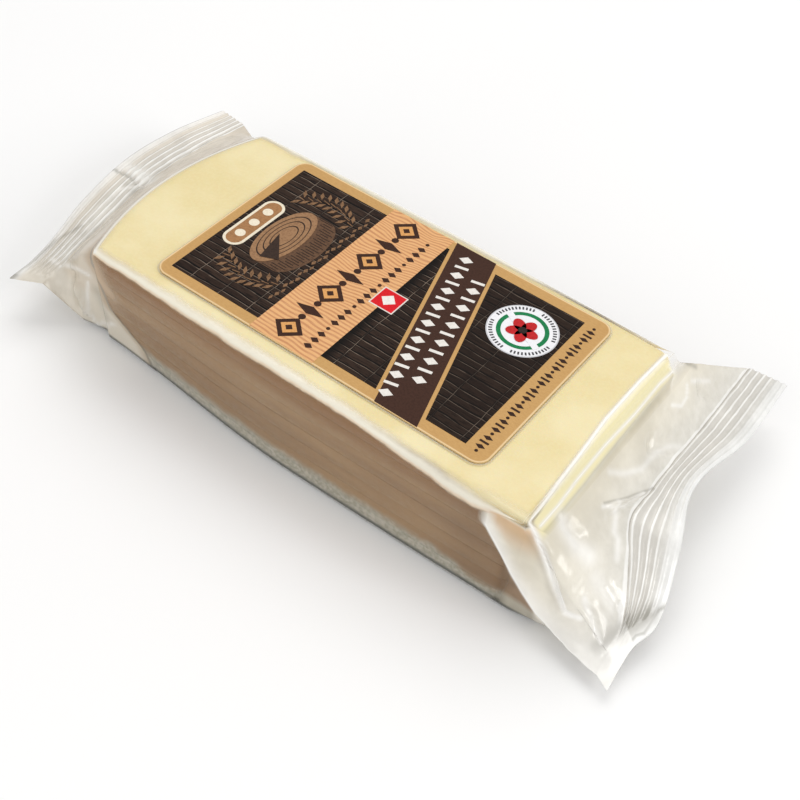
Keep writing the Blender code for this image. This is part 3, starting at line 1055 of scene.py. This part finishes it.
def filmMaterial():
    surface = Surface("clearFilm", 0.17)
    _, y, z = surface.axes()
    names = ("milk", "cheeseReflection", "band", "cover", "creamHighlight", "tan", "amber", "highlight", "shade", "crimp", "pressed")
    milk, cheeseReflection, band, cover, creamHighlight, tan, amber, highlight, shade, crimp, pressed = map(surface.attribute, names)
    broad = surface.noise(70.0)
    ripple = surface.noise(120.0).step(0.3, 0.7, -1.0, 1.0)
    # the white band along the top edges: sharp below, soft above
    band = band + ripple * 0.05
    white = band.step(0.0, 0.15) * band.step(1.0, 0.38)
    whiteTone = band.step(0.02, 0.32).blend((220, 188, 148), (247, 241, 223))
    # the pocket of film at the far corner, with a sharp edge on the rind and painted shade along the fold
    # beside it
    cover = cover + ripple * 0.0004
    covered = cover.step(-0.0002, 0.0006)
    pocket = covered * 0.80
    pocketTone = cover.step(0.0010, 0.0065).blend((190, 168, 140), (226, 217, 200))
    shade = shade.most(abs(cover - 0.0009).step(0.0009, 0.0003, 0.0, 0.75))
    haze = cover.step(-0.0100, -0.0010) * z.step(0.014, 0.027, 0.0, 0.75)
    # painted shadows where the film meets the floor and round the label
    foot = z.step(0.0027, 0.0014, 0.0, 0.85) * y.step(-0.0300, -0.0320) * covered.most(tan)
    labelShadow = abs(labelDistance(surface) - 0.00045).step(0.00032, 0.00012)
    labelShadow = labelShadow * z.step(0.0374, 0.0378, 0.0, 0.45)
    alpha = milk * broad.step(0.35, 0.70, 0.90, 1.10)
    alpha = alpha.most(white * 0.92, pocket, highlight * 0.97, haze, shade * 0.85, creamHighlight * 0.80, labelShadow, foot)
    surface.set("Alpha", alpha.maths("MINIMUM", 1.0))
    # the crimp: painted highlights on five ridges and along the inner edge, painted grey shade between the
    # ridges and beside the inner edge, fading to white at the cut edge
    waver = crimp + ripple * 0.008
    ridge = (waver * film["ridges"] - 0.5).maths("PINGPONG", 0.5)
    inSeal = crimp.step(-0.02, 0.02) * crimp.step(0.90, 0.45) * pressed
    innerHighlight = abs(waver + 0.015).step(0.024, 0.008)
    innerShade = abs(waver - 0.022).step(0.020, 0.006) * 0.7
    ridgeHighlight = (253, 252, 248)
    cool = surface.noise(420.0, 4.0, 0.6).step(0.3, 0.7).blend((223, 222, 217), (235, 234, 230))
    brown = broad.step(0.3, 0.7).blend((120, 92, 62), (138, 110, 80))
    brown = z.step(0.0085, 0.0050).blend(brown, (172, 165, 148))
    # near the block the film is painted warm, a painted reflection of the cheese
    tone = layered(cheeseReflection.blend(cool, (233, 225, 205)), (
        (haze.step(0.0, 0.2), (208, 182, 150)), (pocket, pocketTone), (creamHighlight, (252, 243, 196)),
        (white, whiteTone), (inSeal * 0.80, (212, 208, 200)), (inSeal * ridge.step(0.20, 0.05), ridgeHighlight),
        (crimp.step(0.62, 0.92, 0.0, 0.8), (247, 247, 245)), (innerHighlight * pressed, ridgeHighlight),
        (innerShade * pressed, (176, 170, 160)), (tan, brown), (amber * 0.85, (212, 172, 124)),
        (shade * 0.85, (138, 134, 122)), (labelShadow, (120, 104, 84)), (foot, (78, 80, 76)),
        # painted highlights over everything else
        (highlight, (253, 251, 246)),
    ))
    surface.bump(surface.noise(600.0), 0.15, 0.0002)
    return surface.finish(tone, 0.7)


def buildFilm():
    grid, zones = layFilm()
    print("film laid:", grid.shape)
    grid = hangFrontCrease(grid, zones)
    grid = creaseFilm(grid, zones)
    grid = raiseUnderLabel(grid)
    grid[..., 2] = np.maximum(grid[..., 2], 0.0)
    tints = {
        "milk": filmMilk(grid, zones), "cheeseReflection": zoneWeight(zones, film["cheeseReflection"]), "tan": filmTan(grid),
        "amber": filmAmber(grid), "creamHighlight": filmCreamHighlight(grid), "highlight": filmHighlights(grid),
        "shade": paintLines(grid, shadeLines), "crimp": zoneWeight(zones, film["crimp"], -1.0),
        "pressed": pressedSeal(zones), "band": whiteBand(grid), "cover": farCover(grid),
    }
    rows, columns = grid.shape[:2]
    shape = bmesh.new()
    corners = [[shape.verts.new(point) for point in ring] for ring in grid]
    for lower, upper in zip(corners, corners[1:]):
        for column in range(columns):
            after = (column + 1) % columns
            shape.faces.new((lower[column], lower[after], upper[after], upper[column]))
    closeCut(shape, corners[0])
    closeCut(shape, corners[-1])
    bmesh.ops.recalc_face_normals(shape, faces=shape.faces)
    mesh = bpy.data.meshes.new("packFilm")
    shape.to_mesh(mesh)
    shape.free()
    for name, values in tints.items():
        addTint(mesh, name, np.broadcast_to(values, (rows, columns)).ravel())
    mesh.shade_smooth()
    mesh.materials.append(filmMaterial())
    sheet = bpy.data.objects.new("packFilm", mesh)
    scene.collection.objects.link(sheet)
    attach(sheet, "root")
    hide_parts("pack")


def closeCut(shape, row):                 # triangles between the cut edges of the two sheets
    front = film["arcSteps"] // 2
    back = 3 * (film["arcSteps"] + 1) + sum(film["runPoints"][:3]) + front
    upper = row[front:back + 1]
    lower = [row[front]] + list(reversed(row[back:] + row[:front]))
    shape.faces.new((upper[0], upper[1], lower[1]))
    above, below = 1, 1
    while above < len(upper) - 2 or below < len(lower) - 2:
        lowerDone = below == len(lower) - 2
        upperNext = above < len(upper) - 2 and upper[above + 1].co.y < lower[below + 1].co.y
        if lowerDone or upperNext:
            shape.faces.new((upper[above], upper[above + 1], lower[below]))
            above += 1
        else:
            shape.faces.new((upper[above], lower[below + 1], lower[below]))
            below += 1
    shape.faces.new((upper[-2], upper[-1], lower[-2]))


buildFilm()
print("film wrapped")


# The printed label

def labelMaterial():
    surface = Surface("tanPaper", 0.42)
    fibres = surface.grain((900.0, 2600.0, 900.0), 3.0)
    tone = fibres.step(0.3, 0.7).blend((192, 147, 83), (202, 158, 93))
    tone = (surface.noise(60.0, 2.0) * 0.3).blend(tone, (184, 139, 76))
    rim = labelDistance(surface).step(-0.0006, -0.0002)
    surface.bump(fibres, 0.08, 0.0001)
    return surface.finish(rim.blend(tone, (232, 200, 150)), 0.3)


def woodMaterial():
    surface = Surface("paleWoodPrint", 0.42)
    x, y, _ = surface.axes()
    # the grain runs across the band and swings round like a flame near its back end
    swing = surface.noise(42.0, 2.0) * y.step(-0.02, 0.03, 0.006, 0.022)
    warp = surface.add("CombineXYZ", {"X": x * 0.16, "Y": y + swing}, "Vector")
    inputs = {"Vector": warp, "Scale": 215.0, "Distortion": 3.0, "Detail": 2.0, "Detail Scale": 0.8}
    wave = surface.add("TexWave", inputs, "Fac", wave_type="BANDS", bands_direction="Y")
    tone = wave.step(0.30, 0.90).blend((226, 168, 104), (194, 130, 74))
    fibres = surface.grain((300.0, 3000.0, 300.0)).step(0.45, 0.75, 0.0, 0.35)
    return surface.finish(fibres.blend(tone, (236, 188, 130)))


def slatMaterial():
    surface = Surface("darkSlatPrint", 0.40)
    x, y, _ = surface.axes()
    wobbly = x + surface.noise(90.0, 2.0) * 0.0012
    bent = y + surface.grain((60.0, 200.0, 60.0)) * 0.0022
    place = surface.add("CombineXYZ", {"X": wobbly, "Y": bent}, "Vector")

    def slats(shift, line):      # the slats' colours, and 1 on the lines between them
        inputs = {
            "Vector": surface.stretch((1.0, 1.0, 1.0), shift, place), "Scale": 1.0, "Brick Width": 0.0104,
            "Row Height": 0.0027, "Mortar Size": line, "Mortar Smooth": 0.1,
            "Color1": paint(44, 31, 25), "Color2": paint(60, 45, 36),
        }
        colours = surface.add("TexBrick", inputs, "Color", offset=0.0)
        return colours, colours.other("Fac")

    wood, gaps = slats((0.0040, 0.0006, 0.0), 0.00030)
    _, lights = slats((0.0040, 0.0009, 0.0), 0.00010)
    grain = surface.grain((260.0, 2600.0, 260.0)).step(0.46, 0.66)
    worn = surface.noise(200.0, 2.0).step(0.34, 0.62, 0.15, 1.0)
    besideWood = x.step(0.0056, 0.0018) * x.step(0.0, 0.0010)
    tone = layered(wood, (
        (grain, (30, 21, 17)), (gaps, (14, 9, 8)), (lights * worn, (128, 112, 98)),
        (x.step(0.0, 0.030, 0.0, 0.45), (24, 16, 12)), (besideWood * 0.9, (12, 9, 8)),
    ))
    return surface.finish(tone, 0.05)


def inkMaterial(name, colour, spot):
    surface = Surface(name, 0.40)
    speck = surface.noise(1500.0, 2.0).step(0.4, 0.7)
    return surface.finish(speck.blend(colour, spot), 0.08)


def finishPrint(piece, name, material):
    piece.name = name
    piece.data.name = name
    piece.data.materials.clear()
    piece.data.materials.append(material)
    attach(piece, "root")


def printPieces(name, pieces, colour, spot):
    finishPrint(joinPieces(name, pieces), name, inkMaterial(name + "Ink", colour, spot))


def inLayer(layer, share=0.5):   # height of a layer of print, at its middle or another share of it
    return label["top"] + label["ink"] * (layer - 1 + share)


def addField(low, high, layer, cuts=()):  # a flat field of print, cut along slanted lines
    base = inLayer(layer, 0.0)
    middle = ((low[0] + high[0]) / 2.0, (low[1] + high[1]) / 2.0, base)
    bpy.ops.mesh.primitive_plane_add(size=1.0, location=middle)
    piece = settle((high[0] - low[0], high[1] - low[1], 1.0))
    bpy.ops.object.mode_set(mode="EDIT")
    for point, outward in cuts:
        bpy.ops.mesh.select_all(action="SELECT")
        bpy.ops.mesh.bisect(plane_co=(*point, base), plane_no=(*outward, 0.0), clear_outer=True)
    bpy.ops.mesh.select_all(action="SELECT")
    bpy.ops.mesh.extrude_region_move(TRANSFORM_OT_translate={"value": (0.0, 0.0, label["ink"])})
    bpy.ops.mesh.select_all(action="SELECT")
    bpy.ops.mesh.normals_make_consistent(inside=False)
    bpy.ops.object.mode_set(mode="OBJECT")
    return piece


def addDisc(centre, radius, layer, sides=64, stretch=(1.0, 1.0), turn=0.0):
    bpy.ops.mesh.primitive_cylinder_add(vertices=sides, radius=radius, depth=label["ink"],
                                        location=(*centre, inLayer(layer)), rotation=(0.0, 0.0, turn))
    return settle((*stretch, 1.0))


def addLozenge(centre, height, width, layer, turn=0.0):   # tall along X, wide along Y
    return addDisc(centre, 0.5, layer, 4, (height, width), turn)


def addBar(centre, length, width, turn, layer):           # its length lies along Y before it turns
    bpy.ops.mesh.primitive_cube_add(size=1.0, location=(*centre, inLayer(layer)), rotation=(0.0, 0.0, turn))
    return settle((width, length, label["ink"]))


def addRing(centre, radius, width, layer, stretch=(1.0, 1.0)):
    bpy.ops.mesh.primitive_torus_add(location=(*centre, inLayer(layer)), major_radius=radius,
                                     minor_radius=width / 2.0, major_segments=72, minor_segments=8)
    return settle((*stretch, label["ink"] / width))


panels = {
    "low": (-0.0532, -0.0277),
    "high": (0.0493, 0.0310),
    "firstEnd": -0.0208,         # where the wood band starts
    "woodEnd": 0.0014,           # and ends
    "slantBack": (0.0025, 0.0345),        # the slanted band's far edge at the label's back
    "slantFront": (0.0224, -0.0312),      # and at its front
    "slantWidth": 0.0140,
    "slantField": (0.0, 0.045),  # the field that the slanted band is cut from
    "lineWidth": 0.0012,         # the tan line on each side of the slanted band
    "margin": 0.0001,            # bands stay this far inside the label's long edges
}


def slantCut(offset, side):      # the slanted band's far edge moved along X, and its normal to a side
    (backX, backY), (frontX, frontY) = panels["slantBack"], panels["slantFront"]
    along = Vector((frontX - backX, frontY - backY))
    return (backX + offset, backY), (-along.y / along.length * side, along.x / along.length * side)


def buildPanels():
    low, high = panels["low"], panels["high"]
    line, width = panels["lineWidth"], panels["slantWidth"]
    start, end = panels["firstEnd"], panels["woodEnd"]
    fields = [
        addField(low, (start, high[1]), 1), addField((end, low[1]), high, 1, (slantCut(-line, 1.0),)),
        addField((end, low[1]), high, 1, (slantCut(width + line, -1.0),)),
    ]
    finishPrint(joinPieces("darkPanels", fields), "darkPanels", slatMaterial())
    front, back = label["low"][1] + panels["margin"], label["high"][1] - panels["margin"]
    finishPrint(addField((start, front), (end, back), 1), "woodBand", woodMaterial())
    first, last = panels["slantField"]
    band = addField((first, front), (last, back), 1, (slantCut(0.0, -1.0), slantCut(width, 1.0)))
    finishPrint(band, "slantedBand", inkMaterial("deepBrownInk", (66, 40, 29), (58, 34, 24)))


# Ornaments: plain bars, lozenges, discs and rings

ornaments = {
    "title": {"place": -0.0120, "start": -0.0250, "pitch": 0.0090, "count": 7, "height": 0.0098},
    "subtitle": {"place": -0.0036, "start": -0.0270, "pitch": 0.0029, "count": 20, "height": 0.0030},
    "border": {"place": 0.0527, "start": -0.0278, "pitch": 0.00182, "count": 33},
    "bandRows": (                # first spot, last spot and how many
        ((0.0229, -0.0270), (0.0089, 0.0302), 17), ((0.0270, -0.0175), (0.0171, 0.0244), 12),
    ),
    "tileCentre": (0.0021, 0.0016),
    "tileSide": 0.0074,
    "tileEdge": 0.0008,
    "sealCentre": (0.0377, 0.0166),
    "sealRadius": 0.0104,
    "tickCount": 56,
    "petalCount": 5,
    "petalReach": 0.0023,
}
sealWhite = ((241, 241, 244), (234, 234, 238))


def spotsAlong(row):             # the spots of a row along Y, each with its number
    return [(index, (row["place"], row["start"] + index * row["pitch"])) for index in range(row["count"])]


def spotsRound(centre, radius, count):    # spots on a circle, each with its number and its angle
    spots = []
    for index in range(count):
        angle = 2.0 * math.pi * index / count
        spot = (centre[0] + math.cos(angle) * radius, centre[1] + math.sin(angle) * radius)
        spots.append((index, spot, angle))
    return spots


def pullApart(piece, middle, axis, reach):    # the half past the middle moves out along an axis
    for corner in piece.data.vertices:
        if corner.co[axis] > middle + 0.000001:
            corner.co[axis] += reach
    return piece


def buildTitle():                # hollow diamonds by turns with slim lozenges between dots
    tall = ornaments["title"]["height"]
    dark, pale = [], []
    for index, spot in spotsAlong(ornaments["title"]):
        if index % 2 == 0:
            dark.append(addLozenge(spot, tall, 0.0092, 2))
            pale.append(addLozenge(spot, tall * 0.60, 0.0055, 3))
            dark.append(addLozenge(spot, tall * 0.26, 0.0024, 4))
        else:
            dark.append(addLozenge(spot, tall, 0.0034, 2))
            for side in (-1.0, 1.0):
                dark.append(addDisc((spot[0], spot[1] + side * 0.0034), 0.0011, 2, 32))
    for index, spot in spotsAlong(ornaments["subtitle"]):
        if index % 4 == 3:
            dark.append(addDisc(spot, 0.0006, 2, 24))
        else:
            dark.append(addLozenge(spot, ornaments["subtitle"]["height"], 0.0021, 2))
    printPieces("titleOrnaments", dark, (62, 36, 24), (54, 30, 20))
    printPieces("titleCentres", pale, (222, 164, 100), (208, 150, 88))


def buildBandRows():             # two rows of pale bars and lozenges along the slanted band
    pieces = []
    for (startX, startY), (endX, endY), count in ornaments["bandRows"]:
        turn = math.atan2(-(endX - startX), endY - startY)
        for index in range(count):
            share = index / (count - 1)
            spot = (mix(startX, endX, share), mix(startY, endY, share))
            if index % 2 == 0:
                pieces.append(addLozenge(spot, 0.0044, 0.0030, 2, turn))
            else:
                pieces.append(addBar(spot, 0.0010, 0.0042, turn, 2))
    printPieces("bandOrnaments", pieces, (236, 232, 226), (224, 219, 211))


def buildBorderRow():            # small lozenges by turns with short bars and dots
    pieces = []
    for index, spot in spotsAlong(ornaments["border"]):
        if index % 4 == 0:
            pieces.append(addDisc(spot, 0.0005, 1, 16))
        elif index % 2 == 0:
            pieces.append(addBar(spot, 0.0007, 0.0028, 0.0, 1))
        else:
            pieces.append(addLozenge(spot, 0.0030, 0.0015, 1))
    printPieces("borderOrnaments", pieces, (56, 34, 24), (48, 28, 20))


def buildTile():
    centre, side = ornaments["tileCentre"], ornaments["tileSide"]
    outer = side + ornaments["tileEdge"]
    printPieces("tileEdge", [addBar(centre, outer, outer, 0.0, 2)], (232, 226, 218), (222, 214, 204))
    printPieces("redTile", [addBar(centre, side, side, 0.0, 3)], (220, 24, 36), (206, 18, 30))
    diamond = addLozenge(centre, side * 0.66, side * 0.66, 4)
    printPieces("tileDiamond", [diamond], (240, 236, 230), (230, 226, 220))


def buildSeal():                 # a pale disc with ticks round it, green arcs and a red flower
    centre, radius = ornaments["sealCentre"], ornaments["sealRadius"]
    printPieces("sealRim", [addDisc(centre, radius, 2, 96)], (206, 206, 210), (198, 198, 202))
    printPieces("sealDisc", [addDisc(centre, radius * 0.965, 3, 96)], *sealWhite)
    ticks = []
    for index, spot, angle in spotsRound(centre, radius * 0.875, ornaments["tickCount"]):
        if index % 14 > 1:
            ticks.append(addBar(spot, 0.0005, 0.0011, angle, 4))
    printPieces("sealTicks", ticks, (70, 70, 72), (84, 84, 88))
    printPieces("sealRing", [addRing(centre, radius * 0.66, 0.0013, 4)], (22, 128, 76), (18, 116, 68))
    printPieces("sealGaps", [addBar(centre, radius * 1.50, 0.0020, math.radians(62.0), 5)], *sealWhite)
    petals = []
    for _, spot, angle in spotsRound(centre, ornaments["petalReach"], ornaments["petalCount"]):
        petals.append(addDisc(spot, 0.0019, 6, 32, (1.35, 0.92), angle))
    printPieces("sealPetals", petals, (196, 34, 38), (178, 28, 32))
    printPieces("sealHeart", [addDisc(centre, 0.0013, 7, 32)], (40, 28, 26), (52, 38, 34))


wheel = {                        # the printed cheese wheel, seen from its side and a little from above
    "centre": (-0.0375, 0.0030),
    "radius": 0.0135,
    "flat": (0.46, 1.0),
    "height": 0.0068,
    "rings": (0.0108, 0.0082, 0.0056),
    "hatchCount": 27,
    "hatchPitch": 0.0010,
    "hatchDrop": 0.0036,         # from the rim to the middle of each line of hatching
    "sprigLeaves": 9,
    "sprigPitch": 0.0023,
    "sprigReach": 0.0172,        # from the wheel's middle to the sprigs on both sides
    "rowLeaves": 22,
    "rowPitch": 0.0021,
}


def buildWheel():                # a plain cheese wheel with a wedge out of it
    (x, y), radius, flat = wheel["centre"], wheel["radius"], wheel["flat"]
    side = pullApart(addDisc((x, y), radius, 2, 64, flat), x, 0, wheel["height"])
    printPieces("wheelSide", [side], (104, 76, 55), (84, 60, 44))
    printPieces("wheelTop", [addDisc((x, y), radius, 4, 64, flat)], (160, 122, 88), (140, 104, 74))
    fine = [addRing((x, y), ring, 0.0005, 5, flat) for ring in wheel["rings"]]
    for index in range(wheel["hatchCount"]):
        across = (index - wheel["hatchCount"] // 2) * wheel["hatchPitch"]
        rim = radius * flat[0] * math.sqrt(max(0.0, 1.0 - (across / radius) ** 2))
        spot = (x + rim + wheel["hatchDrop"], y + across)
        fine.append(addBar(spot, 0.0003, 0.0050 - 0.0020 * (index % 2), 0.0, 3))
    printPieces("wheelHatching", fine, (50, 35, 28), (60, 44, 34))
    wedge = addDisc((x + 0.0014, y - 0.0068), 0.0075, 6, 3, (0.45, 1.0), math.radians(25.0))
    printPieces("wheelWedge", [wedge], (58, 42, 33), (48, 34, 27))


def buildSprigs():               # a leafy sprig on both sides of the wheel and a row of leaves under it
    x, y = wheel["centre"]
    leaves = []
    for side in (-1.0, 1.0):
        for index in range(wheel["sprigLeaves"]):
            sway = 0.0036 * math.sin(index * 0.40)
            stem = (x + 0.0110 - index * wheel["sprigPitch"], y + side * (wheel["sprigReach"] + sway))
            leaves.append(addBar(stem, 0.0003, 0.0024, side * -0.2, 2))
            for tip in (-1.0, 1.0):
                spot = (stem[0] - 0.0006, stem[1] + tip * 0.0023)
                leaves.append(addLozenge(spot, 0.0013, 0.0036, 2.5, tip * 0.55))
    for index in range(wheel["rowLeaves"]):
        fromMiddle = index - (wheel["rowLeaves"] - 1) / 2.0
        spot = (x + 0.0138 + 0.0005 * (index % 3), y + fromMiddle * wheel["rowPitch"])
        leaves.append(addLozenge(spot, 0.0009 + 0.0004 * (index % 2), 0.0022, 2 + 0.5 * (index % 2)))
    printPieces("sprigs", leaves, (138, 104, 74), (108, 80, 56))


plaque = {
    "centre": (-0.0482, 0.0020),
    "reach": 0.0085,             # from its middle to the centres of its round ends
    "radius": 0.0036,
    "edge": 0.0009,
    "markPitch": 0.0062,
    "markRadius": 0.0016,
}


def plaqueField(radius, layer):
    (x, y), reach = plaque["centre"], plaque["reach"]
    return pullApart(addDisc((x, y - reach), radius, layer), y - reach, 1, 2.0 * reach)


def buildPlaque():               # a rounded bar with three discs on it
    x, y = plaque["centre"]
    outer = plaqueField(plaque["radius"], 2)
    inner = plaqueField(plaque["radius"] - plaque["edge"], 3)
    printPieces("plaqueEdge", [outer], (238, 228, 206), (228, 216, 192))
    printPieces("plaqueField", [inner], (170, 124, 82), (152, 110, 72))
    spots = [(x, y + step * plaque["markPitch"]) for step in (-1.0, 0.0, 1.0)]
    marks = [addDisc(spot, plaque["markRadius"], 4, 32) for spot in spots]
    printPieces("plaqueMarks", marks, (240, 230, 208), (230, 218, 194))


def buildLabel():
    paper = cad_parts["label"]
    paper.data.materials.clear()
    paper.data.materials.append(labelMaterial())
    buildPanels()
    buildTitle()
    buildBandRows()
    buildBorderRow()
    buildTile()
    buildSeal()
    buildWheel()
    buildSprigs()
    buildPlaque()


buildLabel()
print("label printed")
